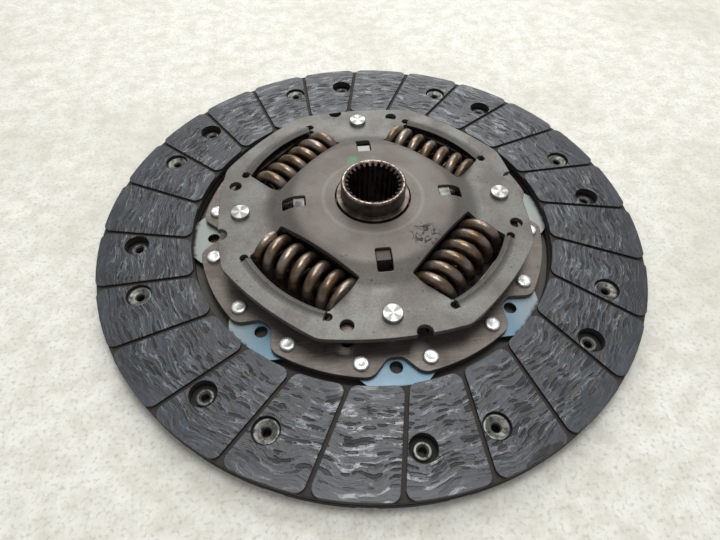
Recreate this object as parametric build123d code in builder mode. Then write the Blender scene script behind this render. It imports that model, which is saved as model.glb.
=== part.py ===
"""Clutch disc of a passenger car: two grooved friction facings on spring segments, and a torsional
damper of four coil springs between the riveted plates and the splined hub.

Millimetres. The origin is on the hub's axis, midway between the two friction faces. +Z points to
the gearbox side.
"""

from build123d import *
from math import asin, cos, degrees, pi, radians, sin, tan
import os

os.makedirs("parts", exist_ok=True)

# ---------------------------------------------------------------- friction facings
facing_outer_radius = 114.0
facing_inner_radius = 76.7
facing_thickness = 3.15
groove_count = 24
groove_width = 1.6
groove_depth = 1.1
groove_offset = 18.2  # distance of each groove's centre line from the hub's axis
groove_start_angle = 3.0  # direction of the first groove, degrees
pad_corner_radius = 3.2

# ---------------------------------------------------------------- cushion segments
segment_count = 8
segment_thickness = 0.7
cushion_travel = 0.7  # how far the facings close when the clutch is clamped
segment_root_margin = 5.5  # from the rivets' centres in to the root's edge
segment_root_half_width = 16.4
segment_neck_half_width = 9.0
segment_shoulder_depth = 4.0  # from the driver plate's lobes in to the root's 45 degree shoulders
segment_gap_angle = 1.6  # clear angle between neighbouring paddles, degrees
segment_paddle_inner_margin = 3.5  # paddle inside the facing's inner edge
segment_paddle_outer_margin = 1.4  # paddle inside the facing's outer edge
segment_fold_inner = 11.5  # tangential distance where the paddle leaves the engine-side facing
segment_fold_outer = 17.5  # tangential distance where it meets the gearbox-side facing
segment_fold_margin = 2.7  # the folds begin this far inside the facing's inner edge
segment_hole_radius = 2.5
segment_hole_margin = 3.1  # hole's centre beyond the floor of the driver plate's notch
segment_corner_radius = 1.6

# ---------------------------------------------------------------- rivets of the facings
facing_rivet_margin = 15.2  # from the facing's outer edge in to the rivets' centres
engine_rivet_angle = 2.1  # from the segment's centre line, degrees
gearbox_rivet_angle = 17.1
facing_hole_radius = 4.9
rivet_clearance = 0.05
rivet_seat_thickness = 1.2  # facing left under a rivet's head
facing_rivet_head_radius = 4.5
facing_rivet_head_thickness = 0.9
facing_rivet_shank_radius = 2.4
facing_rivet_bore_radius = 1.5
facing_rivet_roll_radius = 3.2
facing_rivet_roll_height = 1.0

# ---------------------------------------------------------------- driver plate
driver_thickness = 2.3
driver_lobe_clearance = 3.7  # between the lobes and the facings' inner edge
driver_notch_depth = 7.8
driver_notch_half_angle = 9.2  # where a notch's side meets the lobes' circle, degrees
driver_notch_floor_half_width = 2.7
driver_notch_floor_radius = 3.6
driver_shoulder_radius = 5.5
driver_bore_radius = 17.5
segment_rivet_margin = 5.0  # from the lobes' edge in to the rivets' centres
segment_rivet_angle = 10.7  # each side of a notch, degrees
segment_rivet_head_radius = 3.0
segment_rivet_head_height = 1.5
segment_rivet_shank_radius = 1.9
segment_rivet_tail_height = 1.2
segment_rivet_head_chamfer = 0.7

# ---------------------------------------------------------------- cover plate
plate_gap = 8.95  # clear height between driver plate and cover plate
cover_thickness = 2.3
cover_axis_rim = 9.1  # from the stop rivets' centres out to the edge
cover_corner_rim = 7.4  # from the lips' root out to the corners
cover_corner_angle = 24.0  # corners lie this far from the stop rivets' axes, degrees
cover_side_rim = 5.1  # from the lips' root out to the edge beside each window
cover_corner_rounding = 9.0
cover_dome_height = 5.0
cover_dome_inner_radius = 33.0
cover_dome_outer_radius = 43.5
cover_bend_radius = 9.0
cover_bore_radius = 15.6
tooling_hole_radius = 2.6
tooling_hole_offset = 4.9  # beyond the stop rivets' circle
tooling_hole_angle = 73.8
edge_notch_radius = 3.0
edge_notch_offset = 0.2  # notch's centre inside the edge at the stop rivets' axes
edge_notch_angle = 9.3
slot_width = 6.2
slot_inner_margin = 0.6  # slot's inner end inside the friction lugs
slot_outer_margin = 4.8  # slot's outer end beyond the friction lugs
slot_corner_radius = 1.0

# ---------------------------------------------------------------- spring windows
window_count = 4
window_start_angle = 45.0
window_inner_lap = 1.2  # the cover plate's window reaches this far over the coils
driver_window_inner_lap = 0.5
window_outer_margin = 3.5
window_corner_radius = 0.5
lip_width = 4.2
lip_bend_radius = 3.1
lip_half_angle = 20.2
lip_end_gap_angle = 0.4  # shear gap at each end of a lip
relief_hole_radius = 1.65
relief_hole_inset = 1.9  # from the lips' root in to the hole's centre
relief_hole_angle = 21.5

# ---------------------------------------------------------------- damper springs
spring_distance = 42.3  # from the hub's axis to a spring's axis
damper_height = 8.0  # springs and hub flange above the driver plate's underside
outer_coil_radius = 9.5
outer_wire_radius = 2.25
outer_active_turns = 5.0
inner_coil_radius = 4.6
inner_wire_radius = 1.1
inner_active_turns = 8.0
closed_turns = 0.7  # flattened wire at each end of a spring
points_per_turn = 8
closed_rise_share = 1.0
ground_share = 0.75  # share of the wire's radius that is ground off at its tip
spring_length = 39.7
spring_end_clearance = 0.15
spring_turned = (-126.0, 152.0, -44.0, 121.0)  # how each spring lies turned in its window, degrees

# ---------------------------------------------------------------- stop rivets and hub flange
stop_rivet_circle_radius = 54.5
stop_rivet_count = 4
stop_spacer_radius = 4.6
stop_shank_radius = 3.1
stop_head_radius = 3.85
stop_head_height = 1.85
stop_foot_height = 1.6
stop_head_chamfer = 0.5
twist_limit_angle = 7.0  # hub to plates, each way, degrees
stop_clearance = 0.25
stop_notch_corner_radius = 3.0
flange_thickness = 4.2
flange_rim = 6.8  # beyond the windows' straight outer edge
flange_window_inner_margin = 1.0
flange_window_outer_margin = 2.4
flange_bore_radius = 18.0

# ---------------------------------------------------------------- hub
hub_engine_end = -3.0
hub_length = 29.65
hub_body_radius = 14.9
hub_neck_radius = 13.1
hub_shoulder_height = 22.5
spline_teeth = 28
spline_minor_radius = 10.1
spline_major_radius = 11.3
spline_tip_width = 0.95
spline_root_width = 1.5
hub_chamfer = 0.6
bore_chamfer = 0.7
bore_chamfer_depth = 1.6
seat_clearance = 0.02

# ---------------------------------------------------------------- friction stack
running_clearance = 0.05
washer_clearance = 0.4
bush_wall = 2.5
bush_collar_radius = 24.0
bush_collar_thickness = 1.7
bush_sleeve_below_driver = 0.8
friction_washer_radius = 30.0
friction_ring_radius = 31.4
friction_ring_thickness = 2.1
friction_lug_width = 5.4
friction_lug_inner_radius = 28.2
friction_lug_outer_radius = 32.6
friction_lug_below_cover = 1.3
belleville_thickness = 1.2
belleville_outer_radius = 26.5
belleville_inner_radius = 17.0
thrust_washer_thickness = 1.2
thrust_washer_radius = 25.0

# ---------------------------------------------------------------- sizes that follow from others
facing_rivet_circle_radius = facing_outer_radius - facing_rivet_margin
segment_paddle_outer_radius = facing_outer_radius - segment_paddle_outer_margin
segment_paddle_inner_radius = facing_inner_radius + segment_paddle_inner_margin
segment_fold_start = facing_inner_radius - segment_fold_margin
driver_lobe_radius = facing_inner_radius - driver_lobe_clearance
driver_notch_radius = driver_lobe_radius - driver_notch_depth
segment_rivet_circle_radius = driver_lobe_radius - segment_rivet_margin
segment_root_inner_radius = segment_rivet_circle_radius - segment_root_margin
segment_hole_circle_radius = driver_notch_radius + segment_hole_margin
window_half_length = spring_length / 2 + spring_end_clearance
window_inner_distance = spring_distance - outer_coil_radius + window_inner_lap
driver_window_inner_distance = spring_distance - outer_coil_radius + driver_window_inner_lap
window_outer_radius = spring_distance + outer_coil_radius + window_outer_margin
lip_root_radius = window_outer_radius + lip_width
relief_hole_circle_radius = lip_root_radius - relief_hole_inset
cover_axis_radius = stop_rivet_circle_radius + cover_axis_rim
cover_corner_radius = lip_root_radius + cover_corner_rim
cover_side_radius = lip_root_radius + cover_side_rim
tooling_hole_circle_radius = stop_rivet_circle_radius + tooling_hole_offset
edge_notch_circle_radius = cover_axis_radius - edge_notch_offset
slot_inner_radius = friction_lug_inner_radius - slot_inner_margin
slot_outer_radius = friction_lug_outer_radius + slot_outer_margin
flange_window_inner_distance = spring_distance - outer_coil_radius - flange_window_inner_margin
flange_window_outer_distance = spring_distance + outer_coil_radius + flange_window_outer_margin
flange_radius = flange_window_outer_distance + flange_rim

# ---------------------------------------------------------------- levels along the axis
half_cushion = (segment_thickness + cushion_travel) / 2
engine_face = -half_cushion - facing_thickness
gearbox_face = half_cushion + facing_thickness
driver_bottom = segment_thickness - half_cushion
driver_top = driver_bottom + driver_thickness
cover_bottom = driver_top + plate_gap
cover_top = cover_bottom + cover_thickness
damper_plane = driver_bottom + damper_height
dome_bottom = cover_bottom + cover_dome_height
dome_top = cover_top + cover_dome_height
flange_bottom = damper_plane - flange_thickness / 2
flange_top = damper_plane + flange_thickness / 2

# ---------------------------------------------------------------- facings
turnover_axis = Axis(
    (0, 0, 0),
    (
        cos(radians((engine_rivet_angle + gearbox_rivet_angle) / 2)),
        sin(radians((engine_rivet_angle + gearbox_rivet_angle) / 2)),
        0,
    ),
)

# The gearbox-side facing: a ring under 24 pads, with a counterbored seat for each of its own rivets
# and a clear hole over each rivet of the other facing.
with BuildPart() as facing_gearbox_side:
    with BuildSketch(Plane.XY.offset(half_cushion)):
        Circle(facing_outer_radius)
        Circle(facing_inner_radius, mode=Mode.SUBTRACT)
    extrude(amount=facing_thickness - groove_depth)
    with BuildSketch(Plane.XY.offset(gearbox_face - groove_depth)) as pads:
        Circle(facing_outer_radius)
        Circle(facing_inner_radius, mode=Mode.SUBTRACT)
        with PolarLocations(0, groove_count, start_angle=groove_start_angle):
            with Locations((0, groove_offset)):
                Rectangle(
                    facing_outer_radius,
                    groove_width,
                    align=(Align.MIN, Align.CENTER),
                    mode=Mode.SUBTRACT,
                )
        fillet(pads.vertices(), pad_corner_radius)
    extrude(amount=groove_depth)
    with Locations(Plane.XY.offset(gearbox_face)):
        with PolarLocations(facing_rivet_circle_radius, segment_count, start_angle=engine_rivet_angle):
            Hole(facing_hole_radius)
        with PolarLocations(facing_rivet_circle_radius, segment_count, start_angle=gearbox_rivet_angle):
            CounterBoreHole(
                radius=facing_rivet_shank_radius + rivet_clearance,
                counter_bore_radius=facing_hole_radius,
                counter_bore_depth=facing_thickness - rivet_seat_thickness,
            )
facing_gearbox_side.part.label = "facing_gearbox_side"
export_step(facing_gearbox_side.part, "parts/facing_gearbox_side.step")

# The engine-side facing is the same piece turned over, so that its rivets meet the clear holes.
with BuildPart() as facing_engine_side:
    add(facing_gearbox_side.part.rotate(turnover_axis, 180))
facing_engine_side.part.label = "facing_engine_side"
export_step(facing_engine_side.part, "parts/facing_engine_side.step")

# ---------------------------------------------------------------- cushion segments
# A thin spring-steel paddle: its middle lies on the engine-side facing and its wings on the
# gearbox-side one, and the folds between them are the cushion.
segment_pitch = 360 / segment_count
paddle_half_angle = segment_pitch / 2 - segment_gap_angle / 2
paddle_reach = 2 * facing_outer_radius
segment_neck_start = driver_lobe_radius - segment_shoulder_depth
segment_neck_end = segment_neck_start + segment_root_half_width - segment_neck_half_width
segment_slab_half_width = segment_paddle_outer_radius * sin(radians(paddle_half_angle)) + segment_thickness

with BuildPart() as cushion_blank:
    with BuildSketch(Plane.YZ.offset(segment_fold_start)):
        with BuildLine():
            Polyline(
                (-segment_slab_half_width, driver_bottom),
                (-segment_fold_outer, driver_bottom),
                (-segment_fold_inner, -half_cushion),
                (segment_fold_inner, -half_cushion),
                (segment_fold_outer, driver_bottom),
                (segment_slab_half_width, driver_bottom),
                (segment_slab_half_width, half_cushion),
                (segment_fold_outer, half_cushion),
                (segment_fold_inner, driver_bottom),
                (-segment_fold_inner, driver_bottom),
                (-segment_fold_outer, half_cushion),
                (-segment_slab_half_width, half_cushion),
                close=True,
            )
        make_face()
    extrude(amount=facing_outer_radius - segment_fold_start)
    with BuildSketch(Plane.XY.offset(-half_cushion)):
        with Locations((segment_fold_start, 0)):
            Rectangle(
                segment_fold_start - segment_root_inner_radius,
                2 * segment_root_half_width,
                align=(Align.MAX, Align.CENTER),
            )
    extrude(amount=segment_thickness)
    with BuildSketch(Plane.XY.offset(-half_cushion)) as segment_outline:
        Circle(segment_paddle_outer_radius)
        Circle(segment_paddle_inner_radius, mode=Mode.SUBTRACT)
        Polygon(
            (0, 0),
            (paddle_reach, -paddle_reach * tan(radians(paddle_half_angle))),
            (paddle_reach, paddle_reach * tan(radians(paddle_half_angle))),
            align=None,
            mode=Mode.INTERSECT,
        )
        Polygon(
            (segment_root_inner_radius, -segment_root_half_width),
            (segment_neck_start, -segment_root_half_width),
            (segment_neck_end, -segment_neck_half_width),
            (segment_paddle_outer_radius - segment_neck_half_width, -segment_neck_half_width),
            (segment_paddle_outer_radius - segment_neck_half_width, segment_neck_half_width),
            (segment_neck_end, segment_neck_half_width),
            (segment_neck_start, segment_root_half_width),
            (segment_root_inner_radius, segment_root_half_width),
            align=None,
        )
        fillet(segment_outline.vertices(), segment_corner_radius)
    extrude(amount=2 * half_cushion, mode=Mode.INTERSECT)
    with Locations((segment_hole_circle_radius, 0, half_cushion)):
        Hole(segment_hole_radius)
    with PolarLocations(
        segment_rivet_circle_radius, 2, -segment_rivet_angle, 2 * segment_rivet_angle, endpoint=True
    ):
        Hole(segment_rivet_shank_radius + rivet_clearance)
    with PolarLocations(
        facing_rivet_circle_radius,
        2,
        engine_rivet_angle,
        gearbox_rivet_angle - engine_rivet_angle,
        endpoint=True,
    ):
        Hole(facing_rivet_shank_radius + rivet_clearance)

for index in range(segment_count):
    segment_name = f"cushion_segment_{index + 1}"
    with BuildPart() as cushion_segment:
        add(cushion_blank.part, rotation=(0, 0, index * segment_pitch))
    cushion_segment.part.label = segment_name
    export_step(cushion_segment.part, f"parts/{segment_name}.step")

# ---------------------------------------------------------------- rivets
# Half sections turned about the Z axis, then placed on their circles.
facing_seat_level = half_cushion + rivet_seat_thickness

# A tubular rivet of a facing: cup head on the counterbore's seat, rolled over under the segment.
with BuildPart() as facing_rivet_blank:
    with BuildSketch(Plane.XZ):
        with BuildLine():
            Polyline(
                (facing_rivet_bore_radius, driver_bottom - facing_rivet_roll_height),
                (facing_rivet_roll_radius, driver_bottom - facing_rivet_roll_height / 2),
                (facing_rivet_roll_radius, driver_bottom),
                (facing_rivet_shank_radius, driver_bottom),
                (facing_rivet_shank_radius, facing_seat_level),
                (facing_rivet_head_radius, facing_seat_level),
                (facing_rivet_head_radius, facing_seat_level + facing_rivet_head_thickness),
                (facing_rivet_bore_radius, facing_seat_level + facing_rivet_head_thickness),
                close=True,
            )
        make_face()
    revolve(axis=Axis.Z)

with BuildPart() as facing_rivets_gearbox_side:
    with PolarLocations(facing_rivet_circle_radius, segment_count, start_angle=gearbox_rivet_angle):
        add(facing_rivet_blank.part)
facing_rivets_gearbox_side.part.label = "facing_rivets_gearbox_side"
export_step(facing_rivets_gearbox_side.part, "parts/facing_rivets_gearbox_side.step")

with BuildPart() as facing_rivets_engine_side:
    add(facing_rivets_gearbox_side.part.rotate(turnover_axis, 180))
facing_rivets_engine_side.part.label = "facing_rivets_engine_side"
export_step(facing_rivets_engine_side.part, "parts/facing_rivets_engine_side.step")

# A solid rivet that holds a segment to the driver plate: raised head, upset tail.
with BuildPart() as segment_rivet_blank:
    with BuildSketch(Plane.XZ) as segment_rivet_section:
        with BuildLine():
            Polyline(
                (0, -half_cushion - segment_rivet_tail_height),
                (segment_rivet_head_radius, -half_cushion - segment_rivet_tail_height),
                (segment_rivet_head_radius, -half_cushion),
                (segment_rivet_shank_radius, -half_cushion),
                (segment_rivet_shank_radius, driver_top),
                (segment_rivet_head_radius, driver_top),
                (segment_rivet_head_radius, driver_top + segment_rivet_head_height),
                (0, driver_top + segment_rivet_head_height),
                close=True,
            )
        make_face()
        head_corners = segment_rivet_section.vertices().group_by(Axis.X)[-1].sort_by(Axis.Y)
        chamfer([head_corners[0], head_corners[-1]], segment_rivet_head_chamfer)
    revolve(axis=Axis.Z)

with BuildPart() as segment_rivets:
    with PolarLocations(0, segment_count):
        with PolarLocations(
            segment_rivet_circle_radius, 2, -segment_rivet_angle, 2 * segment_rivet_angle, endpoint=True
        ):
            add(segment_rivet_blank.part)
segment_rivets.part.label = "segment_rivets"
export_step(segment_rivets.part, "parts/segment_rivets.step")

# A stop rivet: its thick middle spaces the plates and stops the hub flange, its ends are riveted.
with BuildPart() as stop_rivet_blank:
    with BuildSketch(Plane.XZ) as stop_rivet_section:
        with BuildLine():
            Polyline(
                (0, driver_bottom - stop_foot_height),
                (stop_head_radius, driver_bottom - stop_foot_height),
                (stop_head_radius, driver_bottom),
                (stop_shank_radius, driver_bottom),
                (stop_shank_radius, driver_top),
                (stop_spacer_radius, driver_top),
                (stop_spacer_radius, cover_bottom),
                (stop_shank_radius, cover_bottom),
                (stop_shank_radius, cover_top),
                (stop_head_radius, cover_top),
                (stop_head_radius, cover_top + stop_head_height),
                (0, cover_top + stop_head_height),
                close=True,
            )
        make_face()
        rivet_ends = stop_rivet_section.vertices().group_by(Axis.Y)
        chamfer(
            rivet_ends[0].sort_by(Axis.X)[-1:] + rivet_ends[-1].sort_by(Axis.X)[-1:],
            stop_head_chamfer,
        )
    revolve(axis=Axis.Z)

with BuildPart() as stop_rivets:
    with PolarLocations(stop_rivet_circle_radius, stop_rivet_count):
        add(stop_rivet_blank.part)
stop_rivets.part.label = "stop_rivets"
export_step(stop_rivets.part, "parts/stop_rivets.step")

# ---------------------------------------------------------------- shapes shared by the two plates
def window_sketch(inner_distance, outer_radius):
    """A spring window on the X axis: straight inner edge and sides, outer edge round the hub."""
    with BuildSketch(mode=Mode.PRIVATE) as window:
        with Locations((inner_distance, 0)):
            Rectangle(outer_radius, 2 * window_half_length, align=(Align.MIN, Align.CENTER))
        Circle(outer_radius, mode=Mode.INTERSECT)
        fillet(window.vertices(), window_corner_radius)
    return window.sketch


def lip_opening_sketch():
    """The ring sector that a window's lip is sheared and bent from, with its relief holes."""
    reach = 2 * lip_root_radius
    half_angle = radians(lip_half_angle + lip_end_gap_angle)
    with BuildSketch(mode=Mode.PRIVATE) as opening:
        Circle(lip_root_radius)
        Circle(window_outer_radius, mode=Mode.SUBTRACT)
        Polygon(
            (0, 0),
            (reach, -reach * tan(half_angle)),
            (reach, reach * tan(half_angle)),
            align=None,
            mode=Mode.INTERSECT,
        )
        with PolarLocations(
            relief_hole_circle_radius, 2, -relief_hole_angle, 2 * relief_hole_angle, endpoint=True
        ):
            Circle(relief_hole_radius)
    return opening.sketch


def plate_holes_sketch():
    """Holes that both plates share: stop rivets and tooling holes."""
    with BuildSketch(mode=Mode.PRIVATE) as holes:
        with PolarLocations(stop_rivet_circle_radius, stop_rivet_count):
            Circle(stop_shank_radius + rivet_clearance)
        with PolarLocations(tooling_hole_circle_radius, window_count, start_angle=tooling_hole_angle):
            Circle(tooling_hole_radius)
    return holes.sketch


def lip_solid(near_level, far_level):
    """A window's lip: the plate's edge curled up on one radius, past the level named first.

    The curl's inside starts at near_level and its outside at far_level.
    """
    outside_radius = lip_bend_radius + abs(near_level - far_level)
    curl = degrees(asin(lip_width / outside_radius))
    turn = -curl if near_level > far_level else curl
    with BuildPart(mode=Mode.PRIVATE) as lip:
        with BuildSketch(Plane.XZ.rotated((0, 0, -lip_half_angle))):
            with BuildLine():
                inside = JernArc((lip_root_radius, near_level), (-1, 0), lip_bend_radius, turn)
                outside = JernArc((lip_root_radius, far_level), (-1, 0), outside_radius, turn)
                Line(inside @ 0, outside @ 0)
                Line(inside @ 1, outside @ 1)
            make_face()
        revolve(axis=Axis.Z, revolution_arc=2 * lip_half_angle)
    return lip.part


# ---------------------------------------------------------------- driver plate
notch_flare = driver_lobe_radius * sin(radians(driver_notch_half_angle))

with BuildPart() as driver_plate:
    with BuildSketch(Plane.XY.offset(driver_bottom)) as driver_outline:
        Circle(driver_lobe_radius)
        with PolarLocations(0, segment_count):
            Polygon(
                (driver_notch_radius, -driver_notch_floor_half_width),
                (driver_lobe_radius + driver_thickness, -notch_flare),
                (driver_lobe_radius + driver_thickness, notch_flare),
                (driver_notch_radius, driver_notch_floor_half_width),
                align=None,
                mode=Mode.SUBTRACT,
            )
        fillet(
            driver_outline.vertices().group_by(SortBy.DISTANCE)[-1],
            driver_shoulder_radius,
        )
        fillet(
            driver_outline.vertices().group_by(SortBy.DISTANCE)[0],
            driver_notch_floor_radius,
        )
        Circle(driver_bore_radius, mode=Mode.SUBTRACT)
        add(plate_holes_sketch(), mode=Mode.SUBTRACT)
        with PolarLocations(0, segment_count):
            with PolarLocations(
                segment_rivet_circle_radius, 2, -segment_rivet_angle, 2 * segment_rivet_angle, endpoint=True
            ):
                Circle(segment_rivet_shank_radius + rivet_clearance, mode=Mode.SUBTRACT)
        with PolarLocations(0, window_count, start_angle=window_start_angle):
            add(
                window_sketch(driver_window_inner_distance, window_outer_radius),
                mode=Mode.SUBTRACT,
            )
            add(lip_opening_sketch(), mode=Mode.SUBTRACT)
    extrude(amount=driver_thickness)
    with PolarLocations(0, window_count, start_angle=window_start_angle):
        add(lip_solid(driver_bottom, driver_top))
driver_plate.part.label = "driver_plate"
export_step(driver_plate.part, "parts/driver_plate.step")

# ---------------------------------------------------------------- cover plate
def on_circle(radius, angle):
    """The point at this radius and angle, degrees, in a sketch's own plane."""
    return (radius * cos(radians(angle)), radius * sin(radians(angle)))


quarter = 360 / window_count

with BuildPart() as cover_plate:
    with BuildSketch(Plane.XZ) as cover_section:
        with BuildLine():
            Polyline(
                (cover_bore_radius, dome_bottom),
                (cover_dome_inner_radius, dome_bottom),
                (cover_dome_outer_radius, cover_bottom),
                (driver_lobe_radius, cover_bottom),
                (driver_lobe_radius, cover_top),
                (cover_dome_outer_radius, cover_top),
                (cover_dome_inner_radius, dome_top),
                (cover_bore_radius, dome_top),
                close=True,
            )
        make_face()
        bends = cover_section.vertices().group_by(Axis.X)
        fillet(bends[1] + bends[2], cover_bend_radius)
    revolve(axis=Axis.Z)
    with BuildSketch(Plane.XY.offset(cover_bottom)) as cover_outline:
        with BuildLine():
            for index in range(window_count):
                axis_angle = index * quarter
                ThreePointArc(
                    on_circle(cover_corner_radius, axis_angle - cover_corner_angle),
                    on_circle(cover_axis_radius, axis_angle),
                    on_circle(cover_corner_radius, axis_angle + cover_corner_angle),
                )
                ThreePointArc(
                    on_circle(cover_corner_radius, axis_angle + cover_corner_angle),
                    on_circle(cover_side_radius, axis_angle + quarter / 2),
                    on_circle(cover_corner_radius, axis_angle + quarter - cover_corner_angle),
                )
        make_face()
        fillet(cover_outline.vertices(), cover_corner_rounding)
    extrude(amount=dome_top - cover_bottom, mode=Mode.INTERSECT)
    with BuildSketch(Plane.XY.offset(cover_bottom)):
        add(plate_holes_sketch())
        with PolarLocations(edge_notch_circle_radius, window_count, start_angle=edge_notch_angle):
            Circle(edge_notch_radius)
        with PolarLocations(0, window_count):
            with Locations(((slot_inner_radius + slot_outer_radius) / 2, 0)):
                RectangleRounded(
                    slot_outer_radius - slot_inner_radius, slot_width, slot_corner_radius
                )
        with PolarLocations(0, window_count, start_angle=window_start_angle):
            add(window_sketch(window_inner_distance, window_outer_radius))
            add(lip_opening_sketch())
    extrude(amount=dome_top - cover_bottom, mode=Mode.SUBTRACT)
    with PolarLocations(0, window_count, start_angle=window_start_angle):
        add(lip_solid(cover_top, cover_bottom))
cover_plate.part.label = "cover_plate"
export_step(cover_plate.part, "parts/cover_plate.step")

# ---------------------------------------------------------------- hub flange
stop_notch_half_angle = twist_limit_angle + degrees(
    asin((stop_spacer_radius + stop_clearance) / stop_rivet_circle_radius)
)
stop_notch_floor = stop_rivet_circle_radius - stop_spacer_radius - stop_clearance
stop_notch_reach = stop_rivet_circle_radius + 2 * stop_spacer_radius

with BuildPart() as hub_flange:
    with BuildSketch(Plane.XY.offset(flange_bottom)):
        Circle(flange_radius)
        Circle(flange_bore_radius, mode=Mode.SUBTRACT)
        with PolarLocations(0, window_count, start_angle=window_start_angle):
            with Locations(((flange_window_inner_distance + flange_window_outer_distance) / 2, 0)):
                RectangleRounded(
                    flange_window_outer_distance - flange_window_inner_distance,
                    2 * window_half_length,
                    window_corner_radius,
                    mode=Mode.SUBTRACT,
                )
        with BuildSketch(mode=Mode.PRIVATE) as stop_notch:
            Polygon(
                on_circle(stop_notch_floor, -stop_notch_half_angle),
                on_circle(stop_notch_reach, -stop_notch_half_angle),
                on_circle(stop_notch_reach, stop_notch_half_angle),
                on_circle(stop_notch_floor, stop_notch_half_angle),
                align=None,
            )
            fillet(stop_notch.vertices().group_by(Axis.X)[0], stop_notch_corner_radius)
        with PolarLocations(0, stop_rivet_count):
            add(stop_notch.sketch, mode=Mode.SUBTRACT)
    extrude(amount=flange_thickness)
hub_flange.part.label = "hub_flange"
export_step(hub_flange.part, "parts/hub_flange.step")

# ---------------------------------------------------------------- hub
hub_gearbox_end = hub_engine_end + hub_length
hub_shoulder = hub_engine_end + hub_shoulder_height

with BuildPart() as hub:
    with BuildSketch(Plane.XZ) as hub_section:
        with BuildLine():
            Polyline(
                (0, hub_engine_end),
                (hub_body_radius, hub_engine_end),
                (hub_body_radius, flange_bottom),
                (flange_bore_radius - seat_clearance, flange_bottom),
                (flange_bore_radius - seat_clearance, flange_top),
                (hub_body_radius, flange_top),
                (hub_body_radius, hub_shoulder),
                (hub_neck_radius, hub_shoulder),
                (hub_neck_radius, hub_gearbox_end),
                (0, hub_gearbox_end),
                close=True,
            )
        make_face()
        outer_corners = hub_section.vertices().filter_by(lambda corner: corner.X > 0)
        chamfer(
            [outer_corners.sort_by(Axis.Y)[0], outer_corners.sort_by(Axis.Y)[-1]], hub_chamfer
        )
    revolve(axis=Axis.Z)
    with BuildSketch(Plane.XY.offset(hub_engine_end)):
        Circle(spline_major_radius)
        with PolarLocations(0, spline_teeth):
            Polygon(
                (spline_minor_radius, -spline_tip_width / 2),
                (spline_major_radius + hub_chamfer, -spline_root_width / 2),
                (spline_major_radius + hub_chamfer, spline_root_width / 2),
                (spline_minor_radius, spline_tip_width / 2),
                align=None,
                mode=Mode.SUBTRACT,
            )
    extrude(amount=hub_length, mode=Mode.SUBTRACT)
    with BuildSketch(Plane.XZ):
        with BuildLine():
            Polyline(
                (0, hub_gearbox_end - bore_chamfer_depth),
                (spline_minor_radius - hub_chamfer, hub_gearbox_end - bore_chamfer_depth),
                (spline_major_radius + bore_chamfer, hub_gearbox_end),
                (0, hub_gearbox_end),
                close=True,
            )
        make_face()
        with BuildLine():
            Polyline(
                (0, hub_engine_end + bore_chamfer_depth),
                (spline_minor_radius - hub_chamfer, hub_engine_end + bore_chamfer_depth),
                (spline_major_radius + bore_chamfer, hub_engine_end),
                (0, hub_engine_end),
                close=True,
            )
        make_face()
    revolve(axis=Axis.Z, mode=Mode.SUBTRACT)
hub.part.label = "hub"
export_step(hub.part, "parts/hub.step")

# ---------------------------------------------------------------- bush, washers and friction ring
bush_bore_radius = hub_body_radius + running_clearance
bush_collar_bottom = driver_top
bush_collar_top = bush_collar_bottom + bush_collar_thickness

with BuildPart() as centring_bush:
    with BuildSketch(Plane.XZ):
        with BuildLine():
            Polyline(
                (bush_bore_radius, driver_bottom - bush_sleeve_below_driver),
                (bush_bore_radius + bush_wall, driver_bottom - bush_sleeve_below_driver),
                (bush_bore_radius + bush_wall, bush_collar_bottom),
                (bush_collar_radius, bush_collar_bottom),
                (bush_collar_radius, bush_collar_top),
                (bush_bore_radius, bush_collar_top),
                close=True,
            )
        make_face()
    revolve(axis=Axis.Z)
centring_bush.part.label = "centring_bush"
export_step(centring_bush.part, "parts/centring_bush.step")

with BuildPart() as friction_washer:
    with BuildSketch(Plane.XY.offset(bush_collar_top)):
        Circle(friction_washer_radius)
        Circle(hub_body_radius + washer_clearance, mode=Mode.SUBTRACT)
    extrude(amount=flange_bottom - running_clearance - bush_collar_top)
friction_washer.part.label = "friction_washer"
export_step(friction_washer.part, "parts/friction_washer.step")

friction_ring_bottom = flange_top + running_clearance
friction_ring_top = friction_ring_bottom + friction_ring_thickness

with BuildPart() as friction_ring:
    with BuildSketch(Plane.XY.offset(friction_ring_bottom)):
        Circle(friction_ring_radius)
        Circle(hub_body_radius + washer_clearance, mode=Mode.SUBTRACT)
    extrude(amount=friction_ring_thickness)
    with BuildSketch(Plane.XY.offset(friction_ring_bottom)):
        with PolarLocations(0, window_count):
            with Locations(((friction_lug_inner_radius + friction_lug_outer_radius) / 2, 0)):
                Rectangle(
                    friction_lug_outer_radius - friction_lug_inner_radius, friction_lug_width
                )
    extrude(amount=dome_top - friction_lug_below_cover - friction_ring_bottom)
friction_ring.part.label = "friction_ring"
export_step(friction_ring.part, "parts/friction_ring.step")

thrust_washer_bottom = dome_bottom - thrust_washer_thickness

with BuildPart() as thrust_washer:
    with BuildSketch(Plane.XY.offset(thrust_washer_bottom)):
        Circle(thrust_washer_radius)
        Circle(belleville_inner_radius, mode=Mode.SUBTRACT)
    extrude(amount=thrust_washer_thickness)
thrust_washer.part.label = "thrust_washer"
export_step(thrust_washer.part, "parts/thrust_washer.step")

with BuildPart() as belleville_washer:
    with BuildSketch(Plane.XZ):
        with BuildLine():
            Polyline(
                (belleville_inner_radius, thrust_washer_bottom - belleville_thickness),
                (belleville_outer_radius, friction_ring_top),
                (belleville_outer_radius, friction_ring_top + belleville_thickness),
                (belleville_inner_radius, thrust_washer_bottom),
                close=True,
            )
        make_face()
    revolve(axis=Axis.Z)
belleville_washer.part.label = "belleville_washer"
export_step(belleville_washer.part, "parts/belleville_washer.step")


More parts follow.
